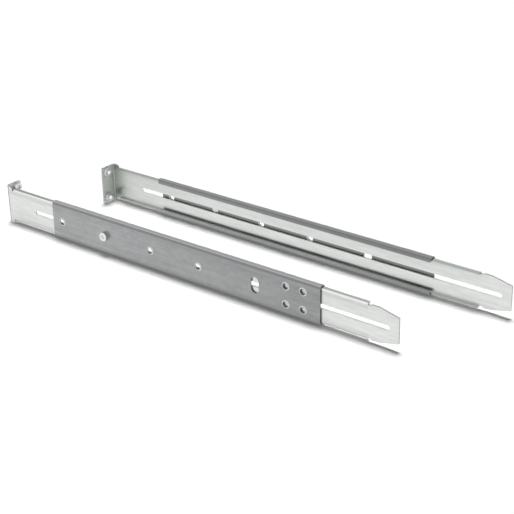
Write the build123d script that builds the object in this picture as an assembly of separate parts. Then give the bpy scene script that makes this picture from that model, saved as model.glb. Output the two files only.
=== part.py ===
from build123d import *
import math
import os

# A pair of adjustable rack rails, one the mirror image of the other, stood on edge.
# Each rail is an outer channel with a slide rail inside it, and the slide rail ends in a rack ear.
# A rail is built in its own frame first: X runs from the ear end to the nose, with 0 at the channel's
# ear end, Y runs from the outer face of the channel's web into its open side, and Z is 0 at mid height.

# Rack standard
RACK_HOLE_SPACING = 31.75  # between the outer two holes of one rack unit
EAR_HEIGHT = 44.0  # just under one rack unit, 44.45

# Outer channel, bent from sheet
CHANNEL_LENGTH = 364.0
CHANNEL_HEIGHT = 43.0
CHANNEL_DEPTH = 8.0
CHANNEL_WALL = 1.2
CHANNEL_BEND = 4.0  # outer radius between web and flange
LIP_BEND = 2.5  # outer radius between flange and lip
LIP_HEIGHT = 5.6
LIP_CORNER = 2.4  # rounding of the lips' corners at the nose end

# Holes in the channel's web, as distances from its ear end unless the name says otherwise
END_HOLE_AT = 14.0
LOCK_NUT_AT = 78.5
MID_HOLE_AT = 144.0
MID_HOLE_SPACING = 66.0
GROUP_FROM_NOSE_END = 31.0  # centre of the group of four
WINDOW_FROM_GROUP = 49.0  # centre to centre
WINDOW_WIDTH = 10.0
WINDOW_HEIGHT = 18.0
GROUP_SPACING_X = 21.0
GROUP_SPACING_Z = 20.0
HOLE_DIAMETER = 6.4  # clears an M6 screw
DIMPLE_DIAMETER = 9.2  # foot of the raised rim round each hole
DIMPLE_RISE = 0.4
DIMPLE_SLOPE = 1.0  # how far the rim draws in over its rise

# Slide rail, bent from sheet, with the rack ear as its bent end
RUNNING_CLEARANCE = 0.6  # channel to slide rail, at the web and at both flanges
LIP_CLEARANCE = 0.5  # flange ends to the channel's lips
SLIDE_LENGTH = 529.0
SLIDE_WALL = 2.0
SLIDE_EXTENSION = 76.0  # rack ear's face to the channel's ear end, as shown
EAR_WIDTH = 21.0
EAR_BEND = 4.0  # outer radius
EAR_CORNER = 1.5
SHOULDER_LENGTH = 9.5  # full-height stretch beside the ear
SHOULDER_RADIUS = 4.0
RELIEF_WIDTH = 2.2  # slit between the shoulder and the flanges
FLANGE_TO_TIP = 35.0
NOSE_RELIEF_WIDTH = 3.5
NOSE_TAPER_LENGTH = 22.0
NOSE_TAPER_DROP = 5.0
NOSE_RADIUS = 14.0  # softens the corner where the taper starts
SLOT_HEIGHT = 5.3  # clears an M5 locking screw
SLOT_FROM_EAR = 46.0
SLOT_FROM_TIP = 10.0

# Clinch nuts: two in the ear for the rack bolts and one in the channel for the locking screw
EAR_NUT_DIAMETER = 11.0
EAR_NUT_HEIGHT = 4.0
EAR_NUT_BORE = 5.0  # an M6 thread's inner diameter
EAR_NUT_FROM_EDGE = 7.0
LOCK_NUT_DIAMETER = 10.0
LOCK_NUT_HEIGHT = 4.0
LOCK_NUT_BORE = 4.2  # an M5 thread's inner diameter
NUT_CHAMFER = 0.6
NUT_BORE_CHAMFER = 0.5
NUT_SHOULDER = 1.1  # how far the head overhangs the pilot, all round
NUT_PILOT_CLEARANCE = 0.05

# Working values
TIGHTEST_BEND = 0.2  # inner radius of a bend whose sheet is as thick as its outer radius
SAME = 0.01  # two places closer than this are one place
CUT_MARGIN = 1.0  # how far a cutter starts outside what it cuts

# The pair as laid out
PAIR_SPACING = 126.0  # between the outer faces of the two webs
PAIR_STAGGER = 53.0  # how far the far rail lies towards the nose end

# Sizes that follow
SLIDE_HEIGHT = CHANNEL_HEIGHT - 2 * CHANNEL_WALL - 2 * RUNNING_CLEARANCE
SLIDE_DEPTH = CHANNEL_DEPTH - 2 * CHANNEL_WALL - RUNNING_CLEARANCE - LIP_CLEARANCE
SLIDE_BEND = max(CHANNEL_BEND - CHANNEL_WALL - RUNNING_CLEARANCE, TIGHTEST_BEND)
SLIDE_Y = CHANNEL_WALL + RUNNING_CLEARANCE
EAR_X = -SLIDE_EXTENSION
TIP_X = EAR_X + SLIDE_LENGTH
FLANGE_START = EAR_X + SHOULDER_LENGTH + RELIEF_WIDTH
FLANGE_END = TIP_X - FLANGE_TO_TIP
EAR_NUT_Y = SLIDE_Y + EAR_WIDTH - EAR_NUT_FROM_EDGE
GROUP_X = CHANNEL_LENGTH - GROUP_FROM_NOSE_END
WINDOW_X = GROUP_X - WINDOW_FROM_GROUP
TALLEST = max(EAR_HEIGHT, CHANNEL_HEIGHT)
LENGTH_OVERALL = max(CHANNEL_LENGTH, TIP_X) - EAR_X + PAIR_STAGGER

LOW_MIDDLE = (Align.MIN, Align.CENTER)
LOW_LOW = (Align.MIN, Align.MIN)
UPWARD = (Align.CENTER, Align.CENTER, Align.MIN)


def inside_bend(outer_radius, wall):
    """The inner radius of a bend in a sheet."""
    return max(outer_radius - wall, TIGHTEST_BEND)


def pilot_radius(nut_diameter):
    return nut_diameter / 2 - NUT_SHOULDER


def nose_height():
    """How tall the flat nose can be: it runs in the channel, whose bends narrow it beside the web."""
    bend = inside_bend(CHANNEL_BEND, CHANNEL_WALL)
    reach = max(bend - RUNNING_CLEARANCE, 0)
    taken_up = bend - math.sqrt(bend**2 - reach**2)
    return CHANNEL_HEIGHT - 2 * (CHANNEL_WALL + taken_up + RUNNING_CLEARANCE)


def channel_section():
    """The channel's section across its length: a web, two flanges and two lips."""
    lip_bend = min(LIP_BEND, CHANNEL_DEPTH - CHANNEL_BEND - SAME)
    outer = Rectangle(CHANNEL_DEPTH, CHANNEL_HEIGHT, align=LOW_MIDDLE)
    outer = fillet(outer.vertices().group_by(Axis.X)[0], CHANNEL_BEND)
    outer = fillet(outer.vertices().group_by(Axis.X)[-1], lip_bend)
    inner = Rectangle(CHANNEL_DEPTH - 2 * CHANNEL_WALL, CHANNEL_HEIGHT - 2 * CHANNEL_WALL, align=LOW_MIDDLE)
    inner = fillet(inner.vertices().group_by(Axis.X)[0], inside_bend(CHANNEL_BEND, CHANNEL_WALL))
    inner = fillet(inner.vertices().group_by(Axis.X)[-1], inside_bend(lip_bend, CHANNEL_WALL))
    mouth = Rectangle(CHANNEL_DEPTH, CHANNEL_HEIGHT - 2 * LIP_HEIGHT, align=LOW_MIDDLE)
    return outer - Pos(CHANNEL_WALL, 0) * inner - Pos(CHANNEL_DEPTH / 2, 0) * mouth


def slide_section():
    """The slide rail's section across its length: a web and two short flanges."""
    outer = Rectangle(SLIDE_DEPTH, SLIDE_HEIGHT, align=LOW_MIDDLE)
    outer = fillet(outer.vertices().group_by(Axis.X)[0], SLIDE_BEND)
    inner = Rectangle(SLIDE_DEPTH, SLIDE_HEIGHT - 2 * SLIDE_WALL, align=LOW_MIDDLE)
    inner = fillet(inner.vertices().group_by(Axis.X)[0], inside_bend(SLIDE_BEND, SLIDE_WALL))
    return outer - Pos(SLIDE_WALL, 0) * inner


def through_web(shape, depth):
    """A cutter of the given outline in XZ, from just outside the channel's web to the given depth."""
    margin = DIMPLE_RISE + CUT_MARGIN
    return extrude(Plane.XZ.offset(margin) * shape, amount=-(margin + depth))


def along_y(x, y, z):
    """A location whose Z axis points out of the web's outer face, against Y."""
    return Location(Plane(origin=(x, y, z), x_dir=(1, 0, 0), z_dir=(0, -1, 0)))


def dimple(x, z):
    """The raised rim round a hole in the web, and the hollow behind it, as added and removed solids."""
    foot = DIMPLE_DIAMETER / 2
    bore = HOLE_DIAMETER / 2
    rim = along_y(x, 0, z) * Cone(foot, foot - DIMPLE_SLOPE, DIMPLE_RISE, align=UPWARD)
    sink = along_y(x, CHANNEL_WALL, z) * Cone(bore + DIMPLE_SLOPE, bore, DIMPLE_RISE, align=UPWARD)
    return rim, sink


def screw_holes():
    """Centres of the channel's screw holes, as (x, z)."""
    line = [(END_HOLE_AT, 0), (MID_HOLE_AT, 0), (MID_HOLE_AT + MID_HOLE_SPACING, 0)]
    group = [
        (GROUP_X + side * GROUP_SPACING_X / 2, level * GROUP_SPACING_Z / 2)
        for side in (-1, 1)
        for level in (-1, 1)
    ]
    return line + group


def channel():
    body = extrude(Plane.YZ * channel_section(), amount=CHANNEL_LENGTH)
    mouth = CHANNEL_HEIGHT / 2 - LIP_HEIGHT
    free_corners = [
        edge
        for edge in body.edges().filter_by(Axis.Y)
        if edge.center().X > CHANNEL_LENGTH - SAME and abs(abs(edge.center().Z) - mouth) < SAME
    ]
    body = fillet(free_corners, min(LIP_CORNER, LIP_HEIGHT - LIP_BEND - SAME))
    for x, z in screw_holes():
        rim, sink = dimple(x, z)
        body = body + rim - sink - through_web(Pos(x, z) * Circle(HOLE_DIAMETER / 2), CHANNEL_DEPTH / 2)
    pilot_hole = Circle(pilot_radius(LOCK_NUT_DIAMETER) + NUT_PILOT_CLEARANCE)
    body -= through_web(Pos(LOCK_NUT_AT, 0) * pilot_hole, CHANNEL_DEPTH / 2)
    window = SlotOverall(WINDOW_HEIGHT, WINDOW_WIDTH, rotation=90)
    body -= through_web(Pos(WINDOW_X, 0) * window, CHANNEL_DEPTH / 2)
    return body


def slide_outline():
    """The slide rail seen from the side: shoulder, relief slits, flat web and tapered nose, in XZ."""
    full = Pos(EAR_X, 0) * Rectangle(SHOULDER_LENGTH, EAR_HEIGHT, align=LOW_MIDDLE)
    top_corner = full.vertices().group_by(Axis.X)[-1].sort_by(Axis.Y)[-1]
    full = fillet(top_corner, SHOULDER_RADIUS)
    nose_start = FLANGE_END + NOSE_RELIEF_WIDTH
    flat_height = SLIDE_HEIGHT - 2 * SLIDE_BEND
    flat = Pos(EAR_X, 0) * Rectangle(nose_start - EAR_X, flat_height, align=LOW_MIDDLE)
    top = nose_height() / 2
    side = [
        (nose_start, top),
        (TIP_X - NOSE_TAPER_LENGTH, top),
        (TIP_X, top - NOSE_TAPER_DROP),
    ]
    mirrored = [(x, -z) for x, z in reversed(side)]
    nose = make_face(Polyline(*side, *mirrored, close=True))
    taper_corners = [v for v in nose.vertices() if abs(v.X - (TIP_X - NOSE_TAPER_LENGTH)) < SAME]
    return full + flat + fillet(taper_corners, NOSE_RADIUS)


def bent_plate():
    """The slide rail's web with the ear bent off its end, both at the ear's full height."""
    web = Rectangle(SLIDE_LENGTH, SLIDE_WALL, align=LOW_LOW)
    ear = Rectangle(SLIDE_WALL, EAR_WIDTH, align=LOW_LOW)
    plan = web + ear
    inner = plan.vertices().sort_by_distance((SLIDE_WALL, SLIDE_WALL))[0]
    plan = fillet(inner, inside_bend(EAR_BEND, SLIDE_WALL))
    outer = plan.vertices().sort_by_distance((0, 0))[0]
    plan = fillet(outer, EAR_BEND)
    plate = extrude(Pos(EAR_X, SLIDE_Y) * plan, amount=EAR_HEIGHT / 2, both=True)
    ear_corners = plate.edges().filter_by(Axis.X).group_by(Axis.Y)[-1]
    return fillet(ear_corners, EAR_CORNER)


def slide_rail():
    outline = extrude(Plane.XZ * slide_outline(), amount=-(SLIDE_Y + EAR_WIDTH))
    body = bent_plate() & outline
    flanged = extrude(Plane.YZ * slide_section(), amount=FLANGE_END - FLANGE_START)
    body += Pos(FLANGE_START, SLIDE_Y, 0) * flanged
    slot_length = SLIDE_LENGTH - SLOT_FROM_EAR - SLOT_FROM_TIP
    slot = SlotOverall(slot_length, SLOT_HEIGHT)
    slot_middle = EAR_X + SLOT_FROM_EAR + slot_length / 2
    body -= through_web(Pos(slot_middle, 0) * slot, SLIDE_Y + SLIDE_DEPTH)
    pilot_hole_radius = pilot_radius(EAR_NUT_DIAMETER) + NUT_PILOT_CLEARANCE
    pilot_hole = Cylinder(pilot_hole_radius, 2 * (SLIDE_WALL + CUT_MARGIN))
    for level in (-1, 1):
        body -= Pos(EAR_X, EAR_NUT_Y, level * RACK_HOLE_SPACING / 2) * Rot(0, 90, 0) * pilot_hole
    return body


def clinch_nut(diameter, height, bore_diameter, sheet):
    """A round clinch nut on a sheet's face, with its pilot reaching back through the sheet. Z is its axis."""
    head = Cylinder(diameter / 2, height, align=UPWARD)
    head = chamfer(head.edges().group_by(Axis.Z)[-1], NUT_CHAMFER)
    pilot = Pos(0, 0, -sheet) * Cylinder(pilot_radius(diameter), sheet, align=UPWARD)
    radius = bore_diameter / 2
    bore = Pos(0, 0, -sheet) * Cylinder(radius, sheet + height, align=UPWARD)
    mouth = Cone(radius, radius + NUT_BORE_CHAMFER, NUT_BORE_CHAMFER, align=UPWARD)
    return head + pilot - bore - Pos(0, 0, height - NUT_BORE_CHAMFER) * mouth


def lock_nut():
    nut = clinch_nut(LOCK_NUT_DIAMETER, LOCK_NUT_HEIGHT, LOCK_NUT_BORE, CHANNEL_WALL)
    return along_y(LOCK_NUT_AT, 0, 0) * nut


def ear_nut(level):
    nut = clinch_nut(EAR_NUT_DIAMETER, EAR_NUT_HEIGHT, EAR_NUT_BORE, SLIDE_WALL)
    return Pos(EAR_X + SLIDE_WALL, EAR_NUT_Y, level * RACK_HOLE_SPACING / 2) * Rot(0, 90, 0) * nut


def rail():
    """The pieces of one rail, in its own frame."""
    return {
        "channel": channel(),
        "lock_nut": lock_nut(),
        "slide_rail": slide_rail(),
        "ear_nut_upper": ear_nut(1),
        "ear_nut_lower": ear_nut(-1),
    }


def main():
    os.makedirs("parts", exist_ok=True)
    middle_x = EAR_X + LENGTH_OVERALL / 2
    near_place = Pos(-middle_x, -PAIR_SPACING / 2, TALLEST / 2)
    far_place = Pos(PAIR_STAGGER - middle_x, PAIR_SPACING / 2, TALLEST / 2)
    for name, piece in rail().items():
        export_step(near_place * piece, f"parts/near_{name}.step")
        export_step(far_place * mirror(piece, about=Plane.XZ), f"parts/far_{name}.step")


main()
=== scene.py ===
import bpy
from mathutils import Matrix, Vector

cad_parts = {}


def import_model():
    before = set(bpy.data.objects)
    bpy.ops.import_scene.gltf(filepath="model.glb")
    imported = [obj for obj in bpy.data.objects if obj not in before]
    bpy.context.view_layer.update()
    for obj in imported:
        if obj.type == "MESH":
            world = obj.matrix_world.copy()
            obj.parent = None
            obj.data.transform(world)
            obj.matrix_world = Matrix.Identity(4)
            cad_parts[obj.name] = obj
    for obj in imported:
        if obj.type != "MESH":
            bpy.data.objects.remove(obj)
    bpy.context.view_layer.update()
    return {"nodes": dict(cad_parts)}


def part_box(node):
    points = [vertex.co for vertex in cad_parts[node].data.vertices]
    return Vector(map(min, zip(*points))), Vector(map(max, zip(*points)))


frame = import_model()

# The camera: its place in metres, and the directions to its right and up
CAMERA_AT = (0.8296, -1.0295, 0.6342)
CAMERA_RIGHT = (0.7920, 0.6103, -0.0166)
CAMERA_UP = (-0.2488, 0.3475, 0.9040)
LENS_MM = 96.03
SENSOR_MM = 36.0

# Colours of the metals, the floor and the room
GALVANISED = (0.365, 0.373, 0.376)
ZINC = (0.756, 0.772, 0.753)
NUT_ZINC = (0.83, 0.85, 0.84)
FLOOR_DARK = (0.93, 0.93, 0.93, 1.0)
FLOOR_PALE = (0.95, 0.95, 0.95, 1.0)
ROOM_WHITE = (1.0, 1.0, 1.0, 1.0)
ROOM_GREY = (0.6, 0.6, 0.605, 1.0)

# Tones, as multiples of a metal's colour
# the channel's upper flange gets painted light, more on the near rail than on the far one
FLANGE_PAINTED_LIGHT = {"near": 1.7, "far": 1.15}
EAR_NUT_LIGHT_AND_SHADE = {"near": (0.92, 0.8, 0.6), "far": (0.68, 0.8, 1.15)}  # end, side and bore: painted light and shade, different on each rail
# the lock nut's end, side and bore: painted shade on the side and painted light in the bore
LOCK_NUT_LIGHT_AND_SHADE = (1.0, 0.6, 1.1)

# How far a face looks along an axis: 0 where it runs along the axis and 1 where it is square to it
EDGE_ON = 0.2
SLOPING = (0.3, 0.98)
CURVED = (0.1, 0.99)
BARELY_CURVED = (0.05, 0.999)
LOWER_BEND_LOOK = 0.4
CUT_LOOK = 0.6
FLANGE_LOOK = 0.75
FLAT_ON = 0.8

# Places on a rail, in metres, along it from its channel's ear end
EAR_FLAT_END = -0.073  # the ear's flat faces lie before this
EAR_FOLD_END = -0.0715
INNER_SHADE = (-0.062, -0.046, -0.02, 0.04)  # starts, is full, starts to fade and has faded
SLOT_ENDS = (-0.04, 0.448)  # the slot lies between these
NOSE_START = 0.418
FLANGE_SHADE_FADE = (0.05, 0.4)
CHANNEL_TONE_FADE = (0.05, 0.33)

# Places on a rail, in metres, out from its channel's web's outer face
RIM_HEIGHT = 0.0004  # the screw holes' rims stand this far out on the other side
CHANNEL_WEB_INSIDE = (0.0009, 0.0015)  # the inner face of the channel's web lies between these
SLIDE_WEB_MIDDLE = 0.003  # between the two faces of the slide rail's web
SLIDE_FOLD_MIDDLE = 0.0036  # between the outer and the inner side of its folds
FREE_EDGES = 0.005  # the lips and the free edges of the slide rail's flanges and ear lie beyond this

# Places on a rail, in metres, above its mid height or on both sides of it
SLOT_HALF = 0.0028
SLOT_RIM_HALF = 0.0043
WEB_FACE_HALF = 0.0173  # the flat part of the channel's web, and what lies between its lips
INNER_FLANGE = (0.01, 0.0185)
INNER_FOLD = (0.012, 0.0179)
OUTER_FOLD = (0.0155, 0.0198)
OUTER_FLANGE_START = 0.0187
FLANGES_REACH = 0.0202  # only the ear reaches past this
UPPER_MARGIN = (0.0122, 0.0142, 0.0162, 0.0176)  # starts, is full, starts to fade and has faded
LOWER_MARGIN = (-0.0175, -0.011)  # is full and has faded

# Distances from a nut's axis, in metres
NUT_BORE_REACH = 0.0032  # the bores' walls lie within this
NUT_RING = (0.0058, 0.0078)  # is full and has faded

OPEN_SIDE = {"near": 1, "far": -1}  # whether a rail's lips are on the +Y or the -Y side of its web
NOISE_RANGE = (0.3, 0.7)  # where most of a noise's values lie
SHADE_GREEN = -0.15  # painted corner shade is greener than the metal by its tone to this power
BUMP_DEPTH = 0.0001
FLOOR_SIZE = 8.0
FLOOR_LIFT = 0.035  # what is added to the floor's own light, so that it shows as white
FLOOR_MIRRORED = 0.65  # the share of plain white in the floor as metal shows it
ROOM_LIGHT = 0.06  # how strongly the room lights the rails, where 1 is how strongly it shows

# How far a direction points up and towards +Y where the room starts to turn grey and is grey
GREY_UPWARDS = (0.03, 0.4)
GREY_BEYOND = (-0.5, 0.2)


class Nodes:
    """A node tree, with short ways to add to it."""

    def __init__(self, tree):
        self.tree = tree
        self.tree.nodes.clear()

    def add(self, kind, **values):
        node = self.tree.nodes.new(kind)
        for name, value in values.items():
            setattr(node, name, value)
        return node

    def put(self, value, socket):
        """Links an output to a socket, or sets the socket to a constant."""
        if isinstance(value, bpy.types.NodeSocket):
            self.tree.links.new(value, socket)
        elif value is not None:
            socket.default_value = value

    def math(self, operation, first, second=None):
        node = self.add("ShaderNodeMath", operation=operation)
        self.put(first, node.inputs[0])
        self.put(second, node.inputs[1])
        return node.outputs[0]

    def above(self, value, limit):
        return self.math("GREATER_THAN", value, limit)

    def below(self, value, limit):
        return self.math("LESS_THAN", value, limit)

    def product(self, first, *others):
        """The product of several values, which is 1 where all of several masks are."""
        for value in others:
            first = self.math("MULTIPLY", first, value)
        return first

    def either(self, first, *others):
        """1 where at least one of several masks is."""
        for mask in others:
            first = self.math("MAXIMUM", first, mask)
        return first

    def between(self, value, low, high):
        return self.product(self.above(value, low), self.below(value, high))

    def spread(self, value, low, high, new_low=0.0, new_high=1.0):
        """A value's range moved to a new one."""
        node = self.add("ShaderNodeMapRange")
        self.put(value, node.inputs["Value"])
        limits = {"From Min": low, "From Max": high, "To Min": new_low, "To Max": new_high}
        for name, limit in limits.items():
            node.inputs[name].default_value = limit
        return node.outputs[0]

    def band(self, value, start, full, fade, end):
        """1 in a band, fading to 0 on both sides."""
        return self.product(self.spread(value, start, full), self.spread(value, fade, end, 1.0, 0.0))

    def vary(self, noise, low=0.0, high=1.0):
        """A noise stretched between two values."""
        return self.spread(noise, *NOISE_RANGE, low, high)

    def dimmed(self, mask, tone):
        """1, and the given tone where a mask is 1."""
        return self.spread(mask, 0.0, 1.0, 1.0, tone)

    def mapped(self, source, scale, location=(0, 0, 0)):
        mapping = self.add("ShaderNodeMapping")
        mapping.inputs["Scale"].default_value = scale
        mapping.inputs["Location"].default_value = location
        self.put(source, mapping.inputs["Vector"])
        return mapping.outputs[0]

    def noise(self, source, scale, detail=3.0, roughness=0.5):
        node = self.add("ShaderNodeTexNoise")
        node.inputs["Scale"].default_value = 1.0
        node.inputs["Detail"].default_value = detail
        node.inputs["Roughness"].default_value = roughness
        self.put(self.mapped(source, scale), node.inputs["Vector"])
        return node.outputs[0]

    def split(self, source):
        node = self.add("ShaderNodeSeparateXYZ")
        self.put(source, node.inputs[0])
        return node.outputs

    def blend(self, mask, first, second, kind="MIX"):
        node = self.add("ShaderNodeMix", data_type="RGBA", blend_type=kind)
        self.put(mask, node.inputs[0])
        self.put(first, node.inputs[6])
        self.put(second, node.inputs[7])
        return node.outputs[2]


class RailMetal(Nodes):
    """A metal on one rail, which knows where a point lies on the rail and which way its face looks.

    A point lies along the rail, out from its web and up from its mid height, and its level is its distance
    from that height. A face's look along an axis is the same for both of the axis's directions.
    """

    def __init__(self, name, rail, colour):
        self.material = bpy.data.materials.new(f"{name}_{rail}")
        self.material.use_nodes = True
        super().__init__(self.material.node_tree)
        self.colour = colour
        coordinates = self.add("ShaderNodeTexCoord")
        self.where = coordinates.outputs["Object"]
        sides = Vector((1, OPEN_SIDE[rail], 1))
        place = self.mapped(self.where, sides, -rail_start(rail) * sides)
        self.along, self.out, self.up = self.split(place)
        self.level = self.math("ABSOLUTE", self.up)
        looks = self.split(coordinates.outputs["Normal"])
        self.look_along, self.look_out, self.look_up = (self.math("ABSOLUTE", look) for look in looks)

    def tinted(self, tone):
        return (*(channel * tone for channel in self.colour), 1.0)

    def shaded(self, red, green, blue):
        """The metal's colour with a tone for each of its channels."""
        tones = self.add("ShaderNodeCombineColor")
        for tone, socket in zip((red, green, blue), tones.inputs):
            self.put(tone, socket)
        return self.blend(1.0, self.tinted(1.0), tones.outputs[0], "MULTIPLY")

    # lays wear, cut faces, painted light and painted shade alike
    def layered(self, colour, places):
        """A colour over which each place's tone of the metal is laid, with a strength of its own."""
        for mask, strength, tone in places:
            colour = self.blend(self.product(mask, strength), colour, self.tinted(tone))
        return colour

    def corner_shade(self, reach, darkest):
        """Painted shade: 1 in the open, falling to the given value in the piece's own inside corners."""
        open_sky = self.add("ShaderNodeAmbientOcclusion", samples=8, only_local=True)
        open_sky.inputs["Distance"].default_value = reach
        return self.spread(open_sky.outputs["AO"], 0.5, 0.95, darkest, 1.0)

    def worn_edges(self, radius):
        """1 along sharp edges, fading over the given radius."""
        bevel = self.add("ShaderNodeBevel", samples=4)
        bevel.inputs["Radius"].default_value = radius
        geometry = self.add("ShaderNodeNewGeometry")
        likeness = self.add("ShaderNodeVectorMath", operation="DOT_PRODUCT")
        self.put(bevel.outputs[0], likeness.inputs[0])
        self.put(geometry.outputs["Normal"], likeness.inputs[1])
        return self.spread(likeness.outputs["Value"], 0.98, 0.75)

    def from_axis(self, across, up):
        """How far a point lies from an axis, from its two distances square to it."""
        return self.math("SQRT", self.math("ADD", self.product(across, across), self.product(up, up)))

    def finish(self, colour, roughness, bump_height, bump_strength, metallic=1.0):
        """Joins the surface up and returns the material."""
        shader = self.add("ShaderNodeBsdfPrincipled")
        bump = self.add("ShaderNodeBump")
        bump.inputs["Strength"].default_value = bump_strength
        bump.inputs["Distance"].default_value = BUMP_DEPTH
        self.put(bump_height, bump.inputs["Height"])
        self.put(colour, shader.inputs["Base Color"])
        self.put(metallic, shader.inputs["Metallic"])
        self.put(roughness, shader.inputs["Roughness"])
        self.put(bump.outputs[0], shader.inputs["Normal"])
        output = self.add("ShaderNodeOutputMaterial")
        self.put(shader.outputs[0], output.inputs["Surface"])
        return self.material


def rail_start(rail):
    """Where places on a rail are measured from: its channel's ear end, web's outer face and mid height."""
    low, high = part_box(f"{rail}_channel")
    rims = low.y if OPEN_SIDE[rail] > 0 else high.y
    return Vector((low.x, rims + RIM_HEIGHT * OPEN_SIDE[rail], (low.z + high.z) / 2))


def nut_middle(rail, nut):
    """The middle of a nut on its rail: how far along, how far out and at which level."""
    low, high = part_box(f"{rail}_{nut}")
    place = (low + high) / 2 - rail_start(rail)
    return Vector((place.x, place.y * OPEN_SIDE[rail], abs(place.z)))


def channel_cuts(metal):
    """1 on the channel's sheared faces: its ends, its lips' edges and the walls of its holes."""
    walls = metal.product(metal.below(metal.look_out, EDGE_ON), metal.below(metal.level, WEB_FACE_HALF))
    return metal.either(walls, metal.above(metal.look_along, FLAT_ON))


def hole_rims(metal):
    """1 on the sloping rims round the channel's screw holes, which get a painted highlight."""
    return metal.product(metal.between(metal.look_out, *SLOPING), metal.below(metal.level, WEB_FACE_HALF))


def inner_web(metal):
    """1 on the channel's web where it faces the slide rail, where shade is painted."""
    return metal.product(metal.above(metal.look_out, FLAT_ON), metal.between(metal.out, *CHANNEL_WEB_INSIDE))


def upper_flange(metal):
    """1 on the channel's upper flange, which gets painted light."""
    return metal.product(metal.above(metal.look_up, FLANGE_LOOK), metal.above(metal.up, WEB_FACE_HALF))


def upper_bends(metal):
    """1 on the steep part of the channel's bends above its mid height, where shade is painted."""
    steep = metal.between(metal.look_up, EDGE_ON, FLANGE_LOOK)
    return metal.product(steep, metal.between(metal.look_out, *CURVED), metal.above(metal.up, WEB_FACE_HALF))


def upper_lip(metal):
    """1 on the flat of the channel's upper lip, where shade is painted."""
    lips = metal.product(metal.above(metal.look_out, FLAT_ON), metal.above(metal.out, FREE_EDGES))
    return metal.product(lips, metal.above(metal.up, 0.0))


def lower_bends(metal):
    """1 on the steep part of the channel's bends below its mid height, and on its lower flange, where shade
    is painted.
    """
    return metal.product(metal.above(metal.look_up, LOWER_BEND_LOOK), metal.below(metal.up, -WEB_FACE_HALF))


def along_slot(metal, half_height):
    """1 from end to end of the slide rail's slot, up to the given height above and below its middle."""
    return metal.product(metal.below(metal.level, half_height), metal.between(metal.along, *SLOT_ENDS))


def slot_walls(metal):
    """1 on the walls of the slide rail's slot."""
    return metal.product(metal.below(metal.look_out, EDGE_ON), along_slot(metal, SLOT_HALF))


def inner_flanges(metal):
    """1 on the inner faces of the slide rail's flanges."""
    return metal.product(metal.above(metal.look_up, FLAT_ON), metal.between(metal.level, *INNER_FLANGE))


def outer_flanges(metal):
    """How much painted shade the outer faces of the slide rail's flanges get, most of all at the ear end."""
    flat = metal.above(metal.look_up, FLANGE_LOOK)
    faces = metal.product(flat, metal.above(metal.level, OUTER_FLANGE_START))
    return metal.product(faces, metal.spread(metal.along, *FLANGE_SHADE_FADE, 0.85, 0.3))


def inner_folds(metal):
    """1 on the inner side of the folds between the slide rail's web and flanges."""
    turning = metal.product(metal.between(metal.look_up, *CURVED), metal.between(metal.look_out, *CURVED))
    inner = metal.product(metal.between(metal.level, *INNER_FOLD), metal.above(metal.out, SLIDE_FOLD_MIDDLE))
    return metal.product(turning, inner)


def outer_folds(metal):
    """1 on the outer side of the folds between the slide rail's web and flanges, where they are steep; the
    upper folds get a painted highlight and the lower ones painted shade.
    """
    steep = metal.between(metal.look_up, EDGE_ON, FLANGE_LOOK)
    outer = metal.product(metal.between(metal.level, *OUTER_FOLD), metal.below(metal.out, SLIDE_FOLD_MIDDLE))
    return metal.product(steep, metal.between(metal.look_out, *CURVED), outer)


def web_margins(metal):
    """1 on the slide rail's web beside its folds, on the side of the channel's web, where shade is painted.
    """
    upper = metal.band(metal.up, *UPPER_MARGIN)
    lower = metal.spread(metal.up, *LOWER_MARGIN, 1.0, 0.0)
    outer = metal.product(metal.above(metal.look_out, FLAT_ON), metal.below(metal.out, SLIDE_WEB_MIDDLE))
    return metal.product(metal.either(upper, lower), outer, metal.below(metal.along, NOSE_START))


def inner_shade(metal):
    """1 on the inner face of the slide rail's web between the ear and the channel, fading both ways."""
    inner = metal.product(metal.above(metal.look_out, FLAT_ON), metal.above(metal.out, SLIDE_WEB_MIDDLE))
    return metal.product(inner, metal.band(metal.along, *INNER_SHADE))


def slide_cuts(metal):
    """1 on the slide rail's sheared faces: the outline of its web, flanges and ear."""
    ends = metal.product(metal.above(metal.look_along, FLAT_ON), metal.above(metal.along, EAR_FLAT_END))
    ends = metal.math("SUBTRACT", ends, slot_walls(metal))
    upward = metal.above(metal.look_up, CUT_LOOK)
    ear_tops = metal.product(upward, metal.above(metal.level, FLANGES_REACH))
    nose = metal.product(upward, metal.above(metal.along, NOSE_START))
    free_edges = metal.product(metal.above(metal.look_out, FLAT_ON), metal.above(metal.out, FREE_EDGES))
    return metal.either(ends, ear_tops, nose, free_edges)


def ear_fold(metal):
    """1 in the fold between the ear and the web, where shade is painted."""
    turning = metal.between(metal.look_along, *BARELY_CURVED)
    turning = metal.product(turning, metal.between(metal.look_out, *BARELY_CURVED))
    return metal.product(turning, metal.below(metal.along, EAR_FOLD_END))


def ear_nut_rings(metal, rail):
    """1 round the two nuts on the ear's inner face, fading outwards: painted shade round their feet."""
    middle = nut_middle(rail, "ear_nut_upper")
    across = metal.math("SUBTRACT", metal.out, middle.y)
    away = metal.from_axis(across, metal.math("SUBTRACT", metal.level, middle.z))
    face = metal.product(metal.below(metal.along, EAR_FLAT_END), metal.above(metal.look_along, FLAT_ON))
    return metal.product(metal.spread(away, *NUT_RING, 1.0, 0.0), face)


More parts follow.
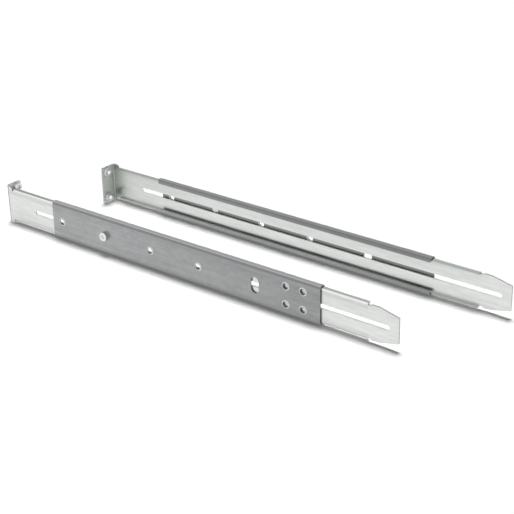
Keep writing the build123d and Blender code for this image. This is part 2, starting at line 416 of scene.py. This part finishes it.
def galvanised(rail):
    """Dull galvanised sheet: faint spangle, lengthwise grain, dark sheared faces, bright rubbed edges."""
    metal = RailMetal("galvanised", rail, GALVANISED)
    grain = metal.noise(metal.where, scale=(25, 1400, 1400), detail=4.0, roughness=0.6)
    rolled = metal.noise(metal.where, scale=(4, 260, 260), roughness=0.6)
    patches = metal.noise(metal.where, scale=(22, 60, 60), detail=2.0)
    spangle = metal.add("ShaderNodeTexVoronoi")
    spangle.inputs["Scale"].default_value = 1.0
    metal.put(metal.mapped(metal.where, scale=(170, 260, 260)), spangle.inputs["Vector"])
    flake = metal.split(spangle.outputs["Color"])[0]
    tone = metal.product(
        metal.vary(grain, 0.92, 1.08),
        metal.vary(patches, 0.96, 1.04),
        metal.spread(flake, 0.0, 1.0, 0.95, 1.05),
        metal.vary(rolled, 0.9, 1.08),
        metal.spread(metal.along, *CHANNEL_TONE_FADE, 1.06, 0.89),
        # painted shade in the channel's own inside corners
        metal.corner_shade(reach=0.008, darkest=0.7),
    )
    rubbed = metal.product(
        metal.worn_edges(radius=0.0005),
        metal.spread(patches, 0.35, 0.65, 0.4, 1.0),
    )
    # Mask, strength and tone
    places = (
        # painted light on the upper flange, at a tone of its own for each rail
        (upper_flange(metal), 0.7, FLANGE_PAINTED_LIGHT[rail]),
        # painted shade on the upper bends
        (upper_bends(metal), 0.75, 0.55),
        # painted shade on the upper lip
        (upper_lip(metal), 0.6, 0.6),
        # painted shade on the lower bends and flange
        (lower_bends(metal), 0.6, 0.6),
        # painted shade on the web's inner face
        (inner_web(metal), 0.85, 0.65),
        (rubbed, 1.0, 1.6),
        # painted highlight on the hole rims
        (hole_rims(metal), 1.0, 1.75),
        (channel_cuts(metal), 1.0, 0.6),
    )
    colour = metal.layered(metal.shaded(tone, tone, tone), places)
    return metal.finish(colour, metal.vary(grain, 0.26, 0.37), grain, bump_strength=0.25)


def zinc(rail):
    """Bright zinc plate: glossy, with a fine lengthwise grain; the slot's walls are dull and get painted
    light.
    """
    metal = RailMetal("zinc", rail, ZINC)
    grain = metal.noise(metal.where, scale=(18, 1600, 1600), detail=4.0, roughness=0.6)
    clouds = metal.noise(metal.where, scale=(14, 50, 50))
    streaks = metal.noise(metal.where, scale=(45, 330, 330), roughness=0.6)
    # painted shade in the slide rail's own inside corners, which also makes the colour greener there
    painted_shade = metal.corner_shade(reach=0.03, darkest=0.66)
    tone = metal.product(
        metal.vary(grain, 0.95, 1.05),
        metal.vary(clouds, 0.94, 1.04),
        metal.vary(streaks, 0.93, 1.05),
        # painted shade on the web beside its folds
        metal.dimmed(web_margins(metal), 0.89),
        metal.dimmed(inner_shade(metal), 0.91),
        painted_shade,
    )
    greener = metal.product(tone, metal.math("POWER", painted_shade, SHADE_GREEN))
    rubbed = metal.product(
        metal.worn_edges(radius=0.0005),
        metal.spread(clouds, 0.35, 0.65, 0.3, 0.9),
        metal.dimmed(along_slot(metal, SLOT_RIM_HALF), 0.2),
    )
    folds = outer_folds(metal)
    matt_lit_walls = slot_walls(metal)
    # Mask, strength and tone
    places = (
        (rubbed, 1.0, 0.55),
        # painted shade on the outer flanges
        (outer_flanges(metal), 1.0, 0.55),
        # painted highlight on the upper folds
        (metal.product(folds, metal.above(metal.up, 0.0)), 1.0, 1.2),
        # painted shade on the lower folds
        (metal.product(folds, metal.below(metal.up, 0.0)), 1.0, 0.75),
        # painted shade in the ear's fold
        (ear_fold(metal), 1.0, 0.5),
        # painted shade round the ear's nuts
        (ear_nut_rings(metal, rail), 0.25, 0.35),
        (slide_cuts(metal), 1.0, 0.6),
        # painted light on the inner flanges and folds, lifting most of the painted corner shade there
        (inner_flanges(metal), 0.7, 0.88),
        (inner_folds(metal), 1.0, 0.95),
        # painted light on the slot walls, which are also dull
        (matt_lit_walls, 1.0, 1.22),
    )
    colour = metal.layered(metal.shaded(tone, greener, tone), places)
    roughness = metal.math("MAXIMUM", metal.vary(clouds, 0.27, 0.36), metal.product(matt_lit_walls, 0.55))
    return metal.finish(colour, roughness, grain, bump_strength=0.15, metallic=metal.dimmed(matt_lit_walls, 0.35))


def nut_zinc(rail, kind):
    """Bright plated nuts with fine tooling marks, painted shade on their sides and in the near ear's nut
    bores, and painted light in the other bores. The ear's lie along the rail and the lock nut across it.
    """
    metal = RailMetal(f"{kind}_zinc", rail, NUT_ZINC)
    if kind == "ear_nut":
        middle = nut_middle(rail, "ear_nut_upper")
        across = metal.math("SUBTRACT", metal.out, middle.y)
        end_on, tones = metal.look_along, EAR_NUT_LIGHT_AND_SHADE[rail]
    else:
        middle = nut_middle(rail, "lock_nut")
        across = metal.math("SUBTRACT", metal.along, middle.x)
        end_on, tones = metal.look_out, LOCK_NUT_LIGHT_AND_SHADE
    end_tone, side_tone, bore_tone = tones
    away = metal.from_axis(across, metal.math("SUBTRACT", metal.level, middle.z))
    marks = metal.noise(metal.where, scale=(900, 900, 900), detail=4.0, roughness=0.6)
    clouds = metal.noise(metal.where, scale=(160, 160, 160), detail=2.0)
    walls = metal.spread(end_on, 0.3, 0.6, 1.0, 0.0)
    # Mask, strength and tone
    places = (
        (metal.worn_edges(radius=0.0004), 1.0, 1.15 * end_tone),
        (walls, 1.0, side_tone),
        (metal.product(walls, metal.below(away, NUT_BORE_REACH)), 1.0, bore_tone),
    )
    clouded = metal.blend(metal.vary(clouds), metal.tinted(0.9 * end_tone), metal.tinted(1.05 * end_tone))
    return metal.finish(metal.layered(clouded, places), metal.vary(marks, 0.18, 0.3), marks, bump_strength=0.15)


def dress(node, material):
    """Gives a piece of the frame its material."""
    mesh = frame["nodes"][node].data
    mesh.materials.clear()
    mesh.materials.append(material)


def floor():
    """A pale floor that shows as white where no shadow falls on it, and as a white room in metal."""
    bpy.ops.mesh.primitive_plane_add(size=FLOOR_SIZE, location=(0, 0, 0))
    plane = bpy.context.object
    plane.name = "floor"
    material = bpy.data.materials.new("floor_white")
    material.use_nodes = True
    nodes = Nodes(material.node_tree)
    coordinates = nodes.add("ShaderNodeTexCoord")
    mottle = nodes.noise(coordinates.outputs["Object"], scale=(40, 40, 40))
    diffuse = nodes.add("ShaderNodeBsdfDiffuse")
    nodes.put(nodes.blend(mottle, FLOOR_DARK, FLOOR_PALE), diffuse.inputs["Color"])
    path = nodes.add("ShaderNodeLightPath")
    lift = nodes.add("ShaderNodeEmission")
    nodes.put(nodes.product(path.outputs["Is Camera Ray"], FLOOR_LIFT), lift.inputs["Strength"])
    lifted = nodes.add("ShaderNodeAddShader")
    nodes.put(diffuse.outputs[0], lifted.inputs[0])
    nodes.put(lift.outputs[0], lifted.inputs[1])
    white = nodes.add("ShaderNodeEmission")
    white.inputs["Color"].default_value = ROOM_WHITE
    white.inputs["Strength"].default_value = 1.0
    mirrored = nodes.either(path.outputs["Is Glossy Ray"], path.outputs["Is Transmission Ray"])
    room = nodes.add("ShaderNodeMixShader")
    nodes.put(nodes.product(mirrored, FLOOR_MIRRORED), room.inputs[0])
    nodes.put(lifted.outputs[0], room.inputs[1])
    nodes.put(white.outputs[0], room.inputs[2])
    output = nodes.add("ShaderNodeOutputMaterial")
    nodes.put(room.outputs[0], output.inputs["Surface"])
    plane.data.materials.append(material)


def camera():
    """The camera at the place that the photograph was taken from."""
    right, up = Vector(CAMERA_RIGHT), Vector(CAMERA_UP)
    back = right.cross(up)
    data = bpy.data.cameras.new("camera")
    data.lens = LENS_MM
    data.sensor_width = SENSOR_MM
    eye = bpy.data.objects.new("camera", data)
    turn = Matrix((right, up, back)).transposed()
    eye.matrix_world = Matrix.Translation(CAMERA_AT) @ turn.to_4x4()
    bpy.context.scene.collection.objects.link(eye)
    bpy.context.scene.camera = eye


def world():
    """A white room that is greyer above the rails' far side, and gives little light of its own."""
    background = bpy.data.worlds.new("studio")
    bpy.context.scene.world = background
    background.use_nodes = True
    nodes = Nodes(background.node_tree)
    coordinates = nodes.add("ShaderNodeTexCoord")
    _, beyond, overhead = nodes.split(coordinates.outputs["Generated"])
    grey = nodes.product(nodes.spread(overhead, *GREY_UPWARDS), nodes.spread(beyond, *GREY_BEYOND))
    path = nodes.add("ShaderNodeLightPath").outputs
    seen = nodes.either(path["Is Camera Ray"], path["Is Glossy Ray"], path["Is Transmission Ray"])
    sky = nodes.add("ShaderNodeBackground")
    nodes.put(nodes.spread(seen, 0.0, 1.0, ROOM_LIGHT, 1.0), sky.inputs["Strength"])
    nodes.put(nodes.blend(grey, ROOM_WHITE, ROOM_GREY), sky.inputs["Color"])
    output = nodes.add("ShaderNodeOutputWorld")
    nodes.put(sky.outputs[0], output.inputs["Surface"])


def lamp(name, kind, place, energy, **shape):
    """A soft lamp at a place, aimed at the middle of the floor, that metal shows no glare of."""
    data = bpy.data.lights.new(name, kind)
    data.energy = energy
    for setting, value in shape.items():
        setattr(data, setting, value)
    source = bpy.data.objects.new(name, data)
    source.visible_glossy = False
    aim = -Vector(place)
    source.matrix_world = Matrix.Translation(place) @ aim.to_track_quat("-Z", "Y").to_matrix().to_4x4()
    bpy.context.scene.collection.objects.link(source)


for rail in OPEN_SIDE:
    dress(f"{rail}_channel", galvanised(rail))
    dress(f"{rail}_slide_rail", zinc(rail))
    dress(f"{rail}_lock_nut", nut_zinc(rail, "lock_nut"))
    ear_nuts = nut_zinc(rail, "ear_nut")
    dress(f"{rail}_ear_nut_upper", ear_nuts)
    dress(f"{rail}_ear_nut_lower", ear_nuts)
floor()
camera()
world()
lamp("overhead", "SUN", place=(-0.3, 0.4, 2.1), energy=3.25, angle=0.34)
lamp("panel", "AREA", place=(-1.3, -0.8, 1.5), energy=1.5, size=1.0)
bpy.context.scene.view_settings.view_transform = "Standard"
